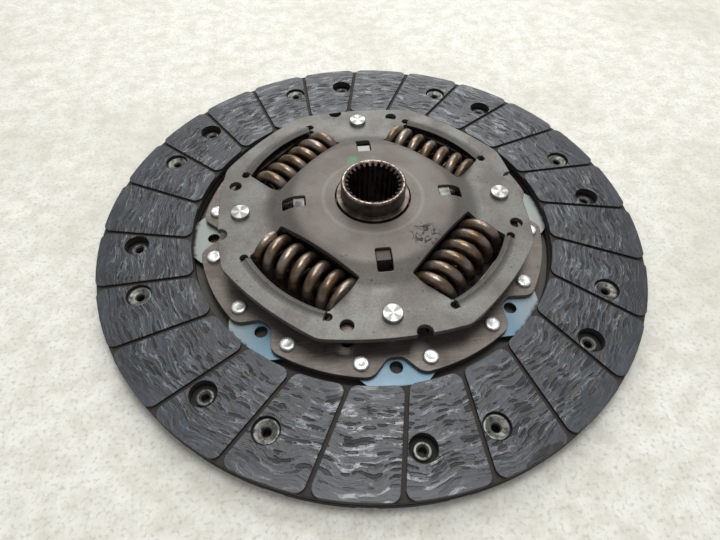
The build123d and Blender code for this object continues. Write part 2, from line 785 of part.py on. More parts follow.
# ---------------------------------------------------------------- damper springs
def coil_spring(coil_radius, wire_radius, active_turns):
    """A compression spring on the Z axis with closed, ground ends."""
    helix_radius = coil_radius - wire_radius
    tip_height = wire_radius * (1 - ground_share)
    closed_rise = wire_radius * closed_rise_share
    active_pitch = (spring_length - 2 * tip_height - 2 * closed_rise) / active_turns
    half_active = active_turns / 2
    all_turns = active_turns + 2 * closed_turns
    steps = round(all_turns * points_per_turn)
    curvature = (closed_rise - active_pitch * closed_turns) / closed_turns**2
    wire_points = []
    for step in range(steps + 1):
        turn = all_turns * (step / steps - 0.5)
        beyond = max(abs(turn) - half_active, 0)
        climb = active_pitch * abs(turn) + curvature * beyond**2
        height = spring_length / 2 + (climb if turn > 0 else -climb)
        angle = 2 * pi * turn
        wire_points.append((helix_radius * cos(angle), helix_radius * sin(angle), height))
    with BuildPart(mode=Mode.PRIVATE) as spring:
        with BuildLine() as wire:
            Spline(*wire_points)
        with BuildSketch(Plane(origin=wire.line @ 0, z_dir=wire.line % 0)):
            Circle(wire_radius)
        sweep(is_frenet=True)
        with BuildSketch():
            Circle(2 * coil_radius)
        extrude(amount=spring_length, mode=Mode.INTERSECT)
    return spring.part


outer_spring_blank = coil_spring(outer_coil_radius, outer_wire_radius, outer_active_turns)
inner_spring_blank = mirror(
    coil_spring(inner_coil_radius, inner_wire_radius, inner_active_turns),
    about=Plane.XZ,
)

for index in range(window_count):
    window_angle = window_start_angle + index * quarter
    axis_x, axis_y = on_circle(spring_distance, window_angle)
    along_x, along_y = on_circle(spring_length / 2, window_angle + quarter)
    spring_seat = Plane(
        origin=(axis_x - along_x, axis_y - along_y, damper_plane),
        x_dir=(axis_x, axis_y, 0),
        z_dir=(along_x, along_y, 0),
    )

    outer_name = f"outer_spring_{index + 1}"
    with BuildPart() as outer_spring:
        with Locations(spring_seat):
            add(outer_spring_blank, rotation=(0, 0, spring_turned[index]))
    outer_spring.part.label = outer_name
    export_step(outer_spring.part, f"parts/{outer_name}.step")

    inner_name = f"inner_spring_{index + 1}"
    with BuildPart() as inner_spring:
        with Locations(spring_seat):
            add(inner_spring_blank, rotation=(0, 0, spring_turned[index]))
    inner_spring.part.label = inner_name
    export_step(inner_spring.part, f"parts/{inner_name}.step")
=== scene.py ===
"""Looks of a passenger-car clutch disc: wound-yarn friction facings on blue tempered segments, a pressed
cover plate with damper springs in its windows, and a splined hub.

Metres, in the CAD's frame: +Z is the gearbox side, and the disc lies on its engine-side facing.
Sizes named here are millimetres, and a pattern's Scale is 1000 over its size in millimetres.
"""

from functools import partial
from math import cos, pi, radians, sin

import bmesh
import bpy
from mathutils import Matrix, Vector


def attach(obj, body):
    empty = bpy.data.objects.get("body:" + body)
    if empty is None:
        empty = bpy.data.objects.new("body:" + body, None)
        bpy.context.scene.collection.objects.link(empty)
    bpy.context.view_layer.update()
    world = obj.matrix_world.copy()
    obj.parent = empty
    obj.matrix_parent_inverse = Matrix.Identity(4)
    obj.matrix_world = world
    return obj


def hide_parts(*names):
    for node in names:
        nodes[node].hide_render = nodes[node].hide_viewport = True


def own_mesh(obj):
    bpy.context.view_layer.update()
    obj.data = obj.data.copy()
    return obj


MM = 0.001
SOFT = "SMOOTHSTEP"  # a Map Range that eases in and out

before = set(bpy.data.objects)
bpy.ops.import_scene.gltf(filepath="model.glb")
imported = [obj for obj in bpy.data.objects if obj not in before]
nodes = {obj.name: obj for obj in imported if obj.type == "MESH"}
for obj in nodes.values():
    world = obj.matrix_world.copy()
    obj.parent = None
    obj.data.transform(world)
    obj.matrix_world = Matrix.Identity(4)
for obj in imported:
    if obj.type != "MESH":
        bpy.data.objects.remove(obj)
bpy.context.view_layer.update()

# ---------------------------------------------------------------- sizes shared with the solids, mm
facing_face = 3.85  # both friction faces lie this far from the middle plane
facing_inner_radius = 76.7
segment_thickness = 0.7
driver_thickness = 2.3
cover_bottom = 11.25
cover_top = 13.55
hub_gearbox_end = 26.65

window_count = 4
window_start_angle = 45.0
spring_distance = 42.3  # from the hub's axis to a spring's axis
spring_height = 8.0
spring_length = 39.7
spring_turned = (-126.0, 152.0, -44.0, 121.0)  # how each spring lies turned in its window, degrees
outer_coil_radius = 9.5
outer_wire_radius = 2.25
outer_active_turns = 5.0
inner_coil_radius = 4.6
inner_wire_radius = 1.1
inner_active_turns = 8.0
closed_turns = 0.7  # flattened wire at each end of a spring

segment_rivet_circle_radius = 68.0
segment_rivet_spread = 21.4  # between the two rivets of a segment, degrees
stop_rivet_circle_radius = 54.5
facing_rivet_circle_radius = 98.8
facing_rivet_seat = 1.9  # from the middle plane to the seat of a rivet's head
gearbox_rivet_angle = 17.1
engine_rivet_angle = 2.1


# ---------------------------------------------------------------- small helpers
def linear(hex_colour):
    """An sRGB hex colour as linear RGBA."""
    parts = [int(hex_colour[i : i + 2], 16) / 255 for i in (1, 3, 5)]
    return [c / 12.92 if c <= 0.04045 else ((c + 0.055) / 1.055) ** 2.4 for c in parts] + [1.0]


def add_node(tree, kind, inputs=None, output=0, **settings):
    """Adds a node with its settings. An input is given a value, or is linked when it is given a socket.

    Returns the named output, or all of them where output is None. Some inputs go by number. A Map Range's
    0 is its value, 1 and 2 are the ends it runs between, and 3 and 4 are what those ends give. A Mix's 0 is
    its share, 2 and 3 are its two numbers, and 6 and 7 its two colours.
    """
    node = tree.nodes.new(kind)
    for name, value in settings.items():
        setattr(node, name, value)
    for name, value in (inputs or {}).items():
        if isinstance(value, bpy.types.NodeSocket):
            tree.links.new(value, node.inputs[name])
        else:
            node.inputs[name].default_value = value
    return node.outputs if output is None else node.outputs[output]


def made_material(name, pattern, **choices):
    """A material whose pattern adds its nodes and returns what the surface's shader takes."""
    material = bpy.data.materials.new(name)
    material.use_nodes = True
    material.node_tree.nodes.clear()
    add = partial(add_node, material.node_tree)
    place = add("ShaderNodeTexCoord", output="Object")
    surface = add("ShaderNodeBsdfPrincipled", pattern(add, place, **choices))
    add("ShaderNodeOutputMaterial", {"Surface": surface}, output=None)
    return material


def flat_and_radius(add, place):
    """A place brought flat onto the middle plane, and how far it lies from the disc's axis."""
    flat = add("ShaderNodeVectorMath", {0: place, 1: (1.0, 1.0, 0.0)}, operation="MULTIPLY")
    return flat, add("ShaderNodeVectorMath", {0: flat}, output="Value", operation="LENGTH")


def laid_over(add, under, shade, measure, start=0.0, end=1.0, share=1.0, blend="LINEAR"):
    """A colour with a shade laid over it: none where the measure is at the start, this share at the end."""
    amount = add("ShaderNodeMapRange", {0: measure, 1: start, 2: end, 4: share}, interpolation_type=blend)
    return add("ShaderNodeMix", {0: amount, 6: under, 7: linear(shade)}, output=2, data_type="RGBA")


# ---------------------------------------------------------------- materials
def along_the_yarn(add, place, flat, radius):
    """A place measured along and across the wound yarn, which swings sideways as it runs round.

    A length along the yarn counts for about a fifth, so a cell of the patterns on it is drawn out.
    """
    direction = add("ShaderNodeVectorMath", {0: flat}, operation="NORMALIZE")
    along = add("ShaderNodeVectorMath", {0: direction, "Scale": 20 * MM}, operation="SCALE")
    swing = add("ShaderNodeTexNoise", {"Vector": place, "Scale": 1000 / 15, "Detail": 1.0})
    swung = add("ShaderNodeMath", {0: swing, 1: 9 * MM, 2: radius}, operation="MULTIPLY_ADD")
    across = add("ShaderNodeCombineXYZ", {2: swung})
    yarn = add("ShaderNodeVectorMath", {0: along, 1: across}, operation="ADD")
    ripple = add("ShaderNodeTexNoise", {"Vector": place, "Scale": 1000 / 2.5, "Detail": 2.0}, output="Color")
    sway = (1.1 * MM, 1.1 * MM, 0.7 * MM)
    return add("ShaderNodeVectorMath", {0: ripple, 1: sway, 2: yarn}, operation="MULTIPLY_ADD")


def sunk_wraps(add, wraps, picked_share, core_edge, wrinkled):
    """The cores of the wraps that have sunk: about this share of them, where the face is wrinkled."""
    picked = add("ShaderNodeSeparateColor", {0: wraps["Color"]})
    sunk = add("ShaderNodeMapRange", {0: picked, 1: picked_share, 2: picked_share - 0.06})
    core = add("ShaderNodeMapRange", {0: wraps["Distance"], 1: core_edge, 2: 0.3}, interpolation_type=SOFT)
    sunk = add("ShaderNodeMath", {0: sunk, 1: core}, operation="MULTIPLY")
    return add("ShaderNodeMath", {0: sunk, 1: wrinkled}, operation="MULTIPLY")


def chipped_stretch(add, flat, radius, fibres):
    """A stretch of the outer edge, about 15 mm long and ragged, where the face of the lining is chipped."""
    angle = radians(-68.3)
    middle = (112.5 * MM * cos(angle), 112.5 * MM * sin(angle), 0.0)
    from_middle = add("ShaderNodeVectorMath", {0: flat, 1: middle}, output="Value", operation="DISTANCE")
    ragged = add("ShaderNodeMath", {0: fibres, 1: 6 * MM, 2: from_middle}, operation="MULTIPLY_ADD")
    within = add("ShaderNodeMapRange", {0: ragged, 1: 11 * MM, 2: 10 * MM}, interpolation_type=SOFT)
    edge = add("ShaderNodeMath", {0: ragged, 1: -0.35, 2: radius}, operation="MULTIPLY_ADD")
    beyond = add("ShaderNodeMapRange", {0: edge, 1: 108.6 * MM, 2: 109.4 * MM}, interpolation_type=SOFT)
    return add("ShaderNodeMath", {0: within, 1: beyond}, operation="MULTIPLY")


def wound_yarn_lining(add, place):
    """Friction lining of wound yarn in phenolic resin, ground flat and run in.

    The yarn shows as wrinkled streaks that run round the disc: glossy slate crests, hollows in near-black
    painted shade and brown strokes of resin, which fade towards either rim. The grooves stay raw and dark.
    """
    flat, radius = flat_and_radius(add, place)
    yarn = along_the_yarn(add, place, flat, radius)
    wraps = add("ShaderNodeTexVoronoi", {"Vector": yarn, "Scale": 1000 / 1.35}, output=None)
    fine_wraps = add("ShaderNodeTexVoronoi", {"Vector": yarn, "Scale": 1000 / 0.95}, output=None)
    streaks = add("ShaderNodeTexNoise", {"Vector": yarn, "Scale": 1000 / 2.0, "Detail": 3.0})
    fibres = add("ShaderNodeTexNoise", {"Vector": yarn, "Scale": 1000 / 0.6, "Detail": 3.0})
    patches = add("ShaderNodeTexNoise", {"Vector": place, "Scale": 1000 / 18, "Detail": 3.0})
    resin = add("ShaderNodeTexNoise", {"Vector": place, "Scale": 1000 / 3, "Detail": 4.0})

    # Wear has polished a band along each rim, so the wrinkles fade there.
    past_bore = add("ShaderNodeMapRange", {0: radius, 1: 77.5 * MM, 2: 84 * MM}, interpolation_type=SOFT)
    before_rim = add("ShaderNodeMapRange", {0: radius, 1: 112 * MM, 2: 105 * MM}, interpolation_type=SOFT)
    wrinkled = add("ShaderNodeMath", {0: past_bore, 1: before_rim}, operation="MULTIPLY")
    wrinkled = add("ShaderNodeMapRange", {0: wrinkled, 3: 0.2, 4: 1.0})

    # Many sunk wraps are brown with resin, many in black painted shade; their edges get a painted highlight.
    shaded_hollow = sunk_wraps(add, wraps, 0.66, 0.47, wrinkled)
    resin_stroke = sunk_wraps(add, fine_wraps, 0.52, 0.5, wrinkled)
    crest = add("ShaderNodeMapRange", {0: streaks, 1: 0.52, 2: 0.64}, interpolation_type=SOFT)
    edge_start = add("ShaderNodeMapRange", {0: wraps["Distance"], 1: 0.42, 2: 0.5})
    edge_end = add("ShaderNodeMapRange", {0: wraps["Distance"], 1: 0.66, 2: 0.52})
    lit_edge = edge_start
    for part in (edge_end, crest, wrinkled):
        lit_edge = add("ShaderNodeMath", {0: lit_edge, 1: part}, operation="MULTIPLY")
    chip = chipped_stretch(add, flat, radius, fibres)

    face = laid_over(add, linear("#282d33"), "#191c20", patches, 0.36, 0.64, blend=SOFT)
    face = laid_over(add, face, "#414446", fibres, 0.4, 0.7, share=0.45)
    face = laid_over(add, face, "#545c64", crest, share=0.35)
    face = laid_over(add, face, "#7d8182", lit_edge, share=0.6)
    face = laid_over(add, face, "#382c21", resin_stroke, share=0.7)
    # Painted shade: the sunk hollows are laid over in near black.
    face = laid_over(add, face, "#0a0a0a", shaded_hollow, share=0.9)
    face = laid_over(add, face, "#0f0e0d", chip)
    raw = laid_over(add, linear("#171412"), "#3a332d", resin)

    height = add("ShaderNodeSeparateXYZ", {0: place}, output="Z")
    height = add("ShaderNodeMath", {0: height}, operation="ABSOLUTE")
    on_face = add("ShaderNodeMapRange", {0: height, 1: (facing_face - 0.4) * MM, 2: (facing_face - 0.1) * MM})
    colour = add("ShaderNodeMix", {0: on_face, 6: raw, 7: face}, output=2, data_type="RGBA")

    dull = add("ShaderNodeMath", {0: shaded_hollow, 1: chip}, operation="MAXIMUM")
    polish = add("ShaderNodeMath", {0: crest, 1: dull}, operation="SUBTRACT")
    polish = add("ShaderNodeMapRange", {0: polish, 1: -1.0, 2: 1.0, 3: 0.65, 4: 0.25})
    roughness = add("ShaderNodeMix", {0: on_face, 2: 0.85, 3: polish})

    relief = add("ShaderNodeMath", {0: streaks, 1: wrinkled}, operation="MULTIPLY")
    for part, rise in ((shaded_hollow, -0.45), (resin_stroke, -0.2), (fibres, 0.08)):
        relief = add("ShaderNodeMath", {0: part, 1: rise, 2: relief}, operation="MULTIPLY_ADD")
    relief = add("ShaderNodeMath", {0: relief, 1: on_face}, operation="MULTIPLY")
    soft_edge = add("ShaderNodeBevel", {"Radius": 0.35 * MM}, samples=4)
    normal = add("ShaderNodeBump", {"Height": relief, "Distance": 0.45 * MM, "Normal": soft_edge})
    return {"Base Color": colour, "Roughness": roughness, "Normal": normal}


def phosphate_film(add, place, grey, brown, stain_size):
    """The colour, stains and grain of a phosphate film on pressed steel: satin, stained brown, pitted."""
    stains = add(
        "ShaderNodeTexNoise",
        {"Vector": place, "Scale": 1000 / stain_size, "Detail": 6.0, "Roughness": 0.62},
    )
    grain = add("ShaderNodeTexNoise", {"Vector": place, "Scale": 1000 / 0.6, "Detail": 3.0})
    specks = add("ShaderNodeTexNoise", {"Vector": place, "Scale": 1000 / 1.7, "Detail": 1.0})
    colour = laid_over(add, linear(grey), brown, stains, 0.4, 0.66, blend=SOFT)
    colour = laid_over(add, colour, "#3d3936", grain, 0.35, 0.75, share=0.45)
    colour = laid_over(add, colour, "#1d1a18", specks, 0.72, 0.76, share=0.7)
    return colour, stains, grain


def cover_plate_steel(add, place):
    """Pressed steel with a phosphate film, oiled and used.

    A satin neutral grey outside, browner on the raised middle, with a faint polished ring round the hub,
    a black scuff, and a dab of green inspection paint.
    """
    flat, radius = flat_and_radius(add, place)
    colour, stains, grain = phosphate_film(add, place, "#6d6d68", "#605b56", 16)
    browned = add("ShaderNodeMath", {0: stains, 1: 30 * MM, 2: radius}, operation="MULTIPLY_ADD")
    colour = laid_over(add, colour, "#564c46", browned, 60 * MM, 44 * MM, share=0.6, blend=SOFT)

    off_ring = add("ShaderNodeMath", {0: radius, 1: 20.5 * MM}, operation="SUBTRACT")
    off_ring = add("ShaderNodeMath", {0: off_ring}, operation="ABSOLUTE")
    colour = laid_over(add, colour, "#969089", off_ring, 1.1 * MM, 0.2 * MM, share=0.14)

    scrawl = add(
        "ShaderNodeTexNoise", {"Vector": place, "Scale": 1000 / 2.2, "Detail": 3.0, "Distortion": 1.5}
    )
    scuff = (17.5 * MM, -22.5 * MM, 0.0)
    off_scuff = add("ShaderNodeVectorMath", {0: flat, 1: scuff}, output="Value", operation="DISTANCE")
    near_scuff = add("ShaderNodeMapRange", {0: off_scuff, 1: 7 * MM, 2: 4 * MM})
    colour = laid_over(add, colour, "#171413", scrawl, 0.5, 0.54, share=near_scuff)

    dab = (-6 * MM, 22.5 * MM, 0.0)
    off_dab = add("ShaderNodeVectorMath", {0: flat, 1: dab}, output="Value", operation="DISTANCE")
    off_dab = add("ShaderNodeMath", {0: scrawl, 1: 5 * MM, 2: off_dab}, operation="MULTIPLY_ADD")
    colour = laid_over(add, colour, "#3f7a52", off_dab, 5 * MM, 4 * MM, share=0.65)

    roughness = add("ShaderNodeMapRange", {0: stains, 1: 0.3, 2: 0.7, 3: 0.46, 4: 0.58})
    soft_edge = add("ShaderNodeBevel", {"Radius": 0.45 * MM}, samples=6)
    normal = add("ShaderNodeBump", {"Height": grain, "Distance": 0.035 * MM, "Normal": soft_edge})
    return {"Base Color": colour, "Roughness": roughness, "Normal": normal, "Metallic": 0.5}


def driver_plate_steel(add, place):
    """Pressed steel with a darker, browner phosphate film, finely scratched along the rolling direction."""
    colour, stains, grain = phosphate_film(add, place, "#6a635d", "#584f48", 14)
    rolled = add("ShaderNodeMapping", {"Vector": place, "Scale": (0.06, 1.0, 1.0), "Rotation": (0, 0, 0.6)})
    scratches = add("ShaderNodeTexNoise", {"Vector": rolled, "Scale": 1000 / 0.5, "Detail": 3.0})
    colour = laid_over(add, colour, "#857b72", scratches, 0.5, 0.72, share=0.4)
    roughness = add("ShaderNodeMapRange", {0: stains, 1: 0.3, 2: 0.7, 3: 0.42, 4: 0.56})
    soft_edge = add("ShaderNodeBevel", {"Radius": 0.4 * MM}, samples=6)
    relief = add("ShaderNodeMath", {0: scratches, 1: grain}, operation="ADD")
    normal = add("ShaderNodeBump", {"Height": relief, "Distance": 0.03 * MM, "Normal": soft_edge})
    return {"Base Color": colour, "Roughness": roughness, "Normal": normal, "Metallic": 0.5}


def tempered_segment_steel(add, place):
    """Spring steel tempered pale blue, greyer towards either end of X, with a satin rolled face.

    Between the facings it is darkened to near black, dull and not metallic, as painted shade.
    """
    film = add("ShaderNodeTexNoise", {"Vector": place, "Scale": 1000 / 14, "Detail": 4.0})
    colour = laid_over(add, linear("#5e7988"), "#6e838f", film, 0.38, 0.66, blend=SOFT)
    sideways = add("ShaderNodeSeparateXYZ", {0: place}, output="X")
    sideways = add("ShaderNodeMath", {0: sideways}, operation="ABSOLUTE")
    colour = laid_over(add, colour, "#858a86", sideways, 46 * MM, 66 * MM, blend=SOFT)

    dust = add("ShaderNodeTexNoise", {"Vector": place, "Scale": 1000 / 2.5, "Detail": 5.0})
    radius = flat_and_radius(add, place)[1]
    ragged_shade_edge = add("ShaderNodeMath", {0: dust, 1: 3 * MM, 2: radius}, operation="MULTIPLY_ADD")
    shade_between_facings = add(
        "ShaderNodeMapRange",
        {0: ragged_shade_edge, 1: (facing_inner_radius - 0.2) * MM, 2: (facing_inner_radius + 1.8) * MM},
        interpolation_type=SOFT,
    )
    # Painted shade: between the facings the steel is laid over in near black, and made dull.
    colour = laid_over(add, colour, "#1c1a19", shade_between_facings)
    metallic = add("ShaderNodeMapRange", {0: shade_between_facings, 3: 0.4, 4: 0.0})
    roughness = add("ShaderNodeMapRange", {0: shade_between_facings, 3: 0.42, 4: 0.85})
    normal = add("ShaderNodeBump", {"Height": dust, "Distance": 0.02 * MM})
    return {"Base Color": colour, "Roughness": roughness, "Metallic": metallic, "Normal": normal}


def zinc_rivet_steel(add, place):
    """Cold-headed steel with bright zinc plating: pale silver, with soft hammer marks and some grime."""
    marks = add("ShaderNodeTexNoise", {"Vector": place, "Scale": 1000 / 1.6, "Detail": 4.0})
    colour = laid_over(add, linear("#cfd1ce"), "#9c9d9b", marks, 0.45, 0.68, blend=SOFT)
    roughness = add("ShaderNodeMapRange", {0: marks, 1: 0.35, 2: 0.7, 3: 0.3, 4: 0.46})
    normal = add("ShaderNodeBump", {"Height": marks, "Distance": 0.02 * MM})
    return {"Base Color": colour, "Roughness": roughness, "Normal": normal, "Metallic": 0.85}


def orbital_zinc_steel(add, place):
    """Zinc-plated steel headed by an orbiting tool, whose marks on each flat top carry a painted reflection:
    a cross of bright, fan-shaped glints.

    The four rivets lie on the X and Y axes, so the larger coordinate tells how far out a place lies.
    """
    mirrored = add("ShaderNodeVectorMath", {0: place}, operation="ABSOLUTE")
    mirrored = add("ShaderNodeSeparateXYZ", {0: mirrored}, output=None)
    outward = add("ShaderNodeMath", {0: mirrored["X"], 1: mirrored["Y"]}, operation="MAXIMUM")
    outward = add("ShaderNodeMath", {0: outward, 1: stop_rivet_circle_radius * MM}, operation="SUBTRACT")
    sideways = add("ShaderNodeMath", {0: mirrored["X"], 1: mirrored["Y"]}, operation="MINIMUM")
    angle = add("ShaderNodeMath", {0: sideways, 1: outward}, operation="ARCTAN2")
    marks = add("ShaderNodeTexNoise", {"Vector": place, "Scale": 1000 / 1.4, "Detail": 4.0})
    angle = add("ShaderNodeMath", {0: angle, 1: marks}, operation="ADD")
    fan_reflection = add("ShaderNodeMath", {0: angle, 1: 4.0}, operation="MULTIPLY")
    fan_reflection = add("ShaderNodeMath", {0: fan_reflection}, operation="SINE")
    fan_reflection = add("ShaderNodeMapRange", {0: fan_reflection, 1: -0.7, 2: 0.7}, interpolation_type=SOFT)
    # Painted reflection: a cross of bright, fan-shaped glints laid into the colour of each flat top.
    colour = laid_over(add, linear("#83837f"), "#adada8", fan_reflection)
    colour = laid_over(add, colour, "#7b7872", marks, 0.58, 0.7, share=0.5)
    roughness = add("ShaderNodeMapRange", {0: fan_reflection, 3: 0.52, 4: 0.38})
    normal = add("ShaderNodeBump", {"Height": marks, "Distance": 0.04 * MM})
    return {"Base Color": colour, "Roughness": roughness, "Normal": normal, "Metallic": 0.85}


def tubular_rivet_steel(add, place):
    """Copper-washed steel of tubular rivets, gone dull: pale grey, mottled dark with lining dust."""
    dirt = add(
        "ShaderNodeTexNoise", {"Vector": place, "Scale": 1000 / 2.2, "Detail": 5.0, "Roughness": 0.65}
    )
    colour = laid_over(add, linear("#6c6d67"), "#37332f", dirt, 0.42, 0.66, blend=SOFT)
    roughness = add("ShaderNodeMapRange", {0: dirt, 1: 0.35, 2: 0.7, 3: 0.36, 4: 0.6})
    normal = add("ShaderNodeBump", {"Height": dirt, "Distance": 0.08 * MM})
    return {"Base Color": colour, "Roughness": roughness, "Normal": normal, "Metallic": 0.75}


def spring_wire(add, place, light, dark, metallic):
    """Oil-tempered chrome-silicon wire, shot-peened: dimpled, in two tints, and rusted in places."""
    dimples = add("ShaderNodeTexNoise", {"Vector": place, "Scale": 1000 / 0.7, "Detail": 2.0})
    tint = add("ShaderNodeTexNoise", {"Vector": place, "Scale": 1000 / 8, "Detail": 4.0})
    colour = laid_over(add, linear(light), dark, tint, 0.38, 0.64, blend=SOFT)
    rust = add("ShaderNodeTexNoise", {"Vector": place, "Scale": 1000 / 5, "Detail": 5.0, "Roughness": 0.6})
    rusted = add("ShaderNodeMapRange", {0: rust, 1: 0.5, 2: 0.66, 4: 0.55}, interpolation_type=SOFT)
    colour = laid_over(add, colour, "#5e3f2c", rusted)
    colour = laid_over(add, colour, "#2f231b", dimples, 0.5, 0.72, share=0.35)
    roughness = add("ShaderNodeMapRange", {0: rusted, 2: 0.55, 3: 0.34, 4: 0.52})
    normal = add("ShaderNodeBump", {"Height": dimples, "Distance": 0.04 * MM})
    return {"Base Color": colour, "Roughness": roughness, "Normal": normal, "Metallic": metallic}


def hub_steel(add, place):
    """Forged and turned steel under a dark grey-brown oil film, worn pale at its gearbox end."""
    film = add("ShaderNodeTexNoise", {"Vector": place, "Scale": 1000 / 4, "Detail": 5.0})
    colour = laid_over(add, linear("#675d55"), "#433a34", film, 0.36, 0.66, blend=SOFT)
    chips = add("ShaderNodeTexNoise", {"Vector": place, "Scale": 1000 / 1.1, "Detail": 4.0})
    height = add("ShaderNodeSeparateXYZ", {0: place}, output="Z")
    worn = add("ShaderNodeMath", {0: chips, 1: 2.4 * MM, 2: height}, operation="MULTIPLY_ADD")
    start = (hub_gearbox_end + 0.9) * MM
    end = (hub_gearbox_end + 1.5) * MM
    colour = laid_over(add, colour, "#a89a8e", worn, start, end, share=0.85, blend=SOFT)

    turned = add("ShaderNodeMapping", {"Vector": place, "Scale": (0.05, 0.05, 1.0)})
    lines = add("ShaderNodeTexNoise", {"Vector": turned, "Scale": 1000 / 0.4, "Detail": 2.0})
    roughness = add("ShaderNodeMapRange", {0: lines, 1: 0.3, 2: 0.7, 3: 0.3, 4: 0.45})
    soft_edge = add("ShaderNodeBevel", {"Radius": 0.25 * MM}, samples=6)
    relief = add("ShaderNodeMath", {0: lines, 1: chips}, operation="ADD")
    normal = add("ShaderNodeBump", {"Height": relief, "Distance": 0.04 * MM, "Normal": soft_edge})
    return {"Base Color": colour, "Roughness": roughness, "Normal": normal, "Metallic": 0.85}


def moulded_polyamide(add, place):
    """Glass-filled polyamide, friction ring and bush: matt grey at +Y, brown painted shade elsewhere."""
    oil = add("ShaderNodeTexNoise", {"Vector": place, "Scale": 1000 / 3, "Detail": 5.0})
    across = add("ShaderNodeSeparateXYZ", {0: place}, output="Y")
    outside_painted_shade = add("ShaderNodeMath", {0: oil, 1: 30 * MM, 2: across}, operation="MULTIPLY_ADD")
    # Painted shade: dark brown covers all but the +Y side, which faces the window softbox.
    colour = laid_over(add, linear("#3a322c"), "#a3a49f", outside_painted_shade, 8 * MM, 24 * MM, blend=SOFT)
    normal = add("ShaderNodeBump", {"Height": oil, "Distance": 0.05 * MM})
    return {"Base Color": colour, "Roughness": 0.6, "Normal": normal}


def worktop_stone(add, place):
    """A pale stone-like worktop: matt cream grey, clouded and grained, with a near-black painted shadow under
    the disc.
    """
    clouds = add("ShaderNodeTexNoise", {"Vector": place, "Scale": 1000 / 9, "Detail": 8.0, "Roughness": 0.7})
    colour = laid_over(add, linear("#dcdbd3"), "#c9c6ba", clouds, 0.36, 0.66, blend=SOFT)
    grains = add("ShaderNodeTexNoise", {"Vector": place, "Scale": 1000 / 1.4, "Detail": 4.0})
    colour = laid_over(add, colour, "#a3a094", grains, 0.52, 0.72, share=0.6)
    stains = add("ShaderNodeTexNoise", {"Vector": place, "Scale": 1000 / 110, "Detail": 3.0})
    colour = laid_over(add, colour, "#b3b0a0", stains, 0.45, 0.7, share=0.4, blend=SOFT)
    from_axis = add("ShaderNodeVectorMath", {0: place}, output="Value", operation="LENGTH")
    # Painted shadow: within 104 to 112 mm of the axis the worktop turns near black, under the disc.
    colour = laid_over(add, colour, "#2a2622", from_axis, 112 * MM, 104 * MM, share=0.92)
    return {"Base Color": colour, "Roughness": 0.8}


lining = made_material("wound_yarn_friction_lining", wound_yarn_lining)
cover_steel = made_material("phosphated_cover_steel", cover_plate_steel)
driver_steel = made_material("phosphated_driver_steel", driver_plate_steel)
segment_steel = made_material("blue_tempered_spring_steel", tempered_segment_steel)
rivet_zinc = made_material("zinc_plated_rivet_steel", zinc_rivet_steel)
stop_rivet_zinc = made_material("orbital_headed_zinc_steel", orbital_zinc_steel)
rivet_dull = made_material("dull_tubular_rivet_steel", tubular_rivet_steel)
outer_wire = made_material(
    "shot_peened_spring_wire", spring_wire, light="#8b7f74", dark="#65533f", metallic=0.9
)
inner_wire = made_material(
    "blackened_spring_wire", spring_wire, light="#4a4039", dark="#372f2a", metallic=0.8
)
dark_steel = made_material("turned_hub_steel", hub_steel)
polyamide = made_material("glass_filled_polyamide", moulded_polyamide)
stone = made_material("pale_worktop", worktop_stone)

# The finish of a node goes by the first word of its name, but the facings' rivets have their own.
finishes = {
    "facing": lining,
    "cushion": segment_steel,
    "driver": driver_steel,
    "cover": cover_steel,
    "segment": rivet_zinc,
    "stop": stop_rivet_zinc,
    "hub": dark_steel,
    "friction": polyamide,
    "centring": polyamide,
    "belleville": driver_steel,
    "thrust": driver_steel,
    "outer": outer_wire,
    "inner": inner_wire,
}
for name, node in nodes.items():
    finish = rivet_dull if name.startswith("facing_rivets") else finishes[name.split("_")[0]]
    node.data.materials.clear()
    node.data.materials.append(finish)


# ---------------------------------------------------------------- geometry trees
def new_geometry_tree(name, inputs):
    """A geometry tree with named inputs; returns it, the function that adds its nodes, and the inputs."""
    tree = bpy.data.node_groups.new(name, "GeometryNodeTree")
    for label, kind in inputs.items():
        tree.interface.new_socket(label, in_out="INPUT", socket_type="NodeSocket" + kind)
    tree.interface.new_socket("Mesh", in_out="OUTPUT", socket_type="NodeSocketGeometry")
    add = partial(add_node, tree)
    return tree, add, add("NodeGroupInput", output=None)


def finish_tree(add, geometry, material):
    """Ends a tree: its instances become a real mesh of this material, which goes out."""
    realised = add("GeometryNodeRealizeInstances", {"Geometry": geometry})
    painted = add("GeometryNodeSetMaterial", {"Geometry": realised, "Material": material})
    add("NodeGroupOutput", {"Mesh": painted}, output=None)


def on_circle(add, radius, angle, height=0.0):
    """The point at this angle and height on a circle about Z."""
    x = add("ShaderNodeMath", {0: angle}, operation="COSINE")
    x = add("ShaderNodeMath", {0: radius, 1: x}, operation="MULTIPLY")
    y = add("ShaderNodeMath", {0: angle}, operation="SINE")
    y = add("ShaderNodeMath", {0: radius, 1: y}, operation="MULTIPLY")
    return add("ShaderNodeCombineXYZ", {0: x, 1: y, 2: height})


def made_by(tree, name, values):
    """A plain mesh object made by a geometry tree with these input values."""
    piece = bpy.data.objects.new(name, bpy.data.meshes.new(name))
    bpy.context.scene.collection.objects.link(piece)
    modifier = piece.modifiers.new("make", "NODES")
    modifier.node_group = tree
    for item in tree.interface.items_tree:
        if item.item_type == "SOCKET" and item.in_out == "INPUT":
            modifier[item.identifier] = values[item.name]
    graph = bpy.context.evaluated_depsgraph_get()
    finished = bpy.data.meshes.new_from_object(piece.evaluated_get(graph))
    piece.modifiers.clear()
    piece.data = finished
    return piece


def smooth_by_angle(piece, angle):
    """Smooth shading, with an edge kept sharp where its faces meet past this angle, degrees."""
    mesh = piece.data
    for face in mesh.polygons:
        face.use_smooth = True
    mesh.set_sharp_from_angle(angle=radians(angle))


